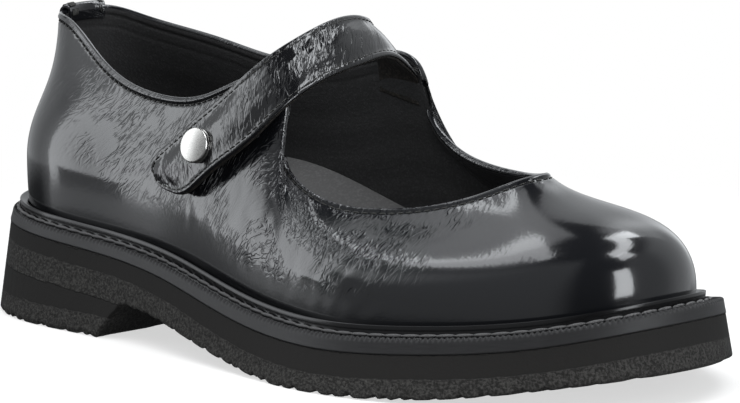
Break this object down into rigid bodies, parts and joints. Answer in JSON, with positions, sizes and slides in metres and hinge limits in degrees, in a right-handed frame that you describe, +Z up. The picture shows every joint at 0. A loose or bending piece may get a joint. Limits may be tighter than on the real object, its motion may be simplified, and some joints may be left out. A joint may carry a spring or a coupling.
{
  "type": "mary jane shoe",
  "caption": "Right-foot patent leather mary jane shoe with a snap strap, a stitched welt and a thick flared foam sole with a low heel.",
  "frame": {"origin": "middle of the plan of the shoe, on the plane that the heel and the forefoot stand on", "axes": "+X from heel to toe, +Y to the inner side of the foot, +Z up"},
  "size_m": [0.2726, 0.1169, 0.1022],
  "materials": {
    "upper": "glossy patent, finely creased",
    "strap": "glossy patent, finely creased",
    "heel_tab": "glossy patent",
    "insole": "matte grained",
    "welt": "semi-matte, brushed",
    "outsole": "matte foam with a grained side",
    "snap": "satin silver"
  },
  "bodies": {
    "root": {"outsole": "outsole", "welt": "welt", "upper": "upper", "insole": "insole", "heel_tab": "heel_tab", "strap": "strap", "snap_cap": "snap", "snap_socket": "snap", "snap_stud": "snap"}
  },
  "joints": []
}
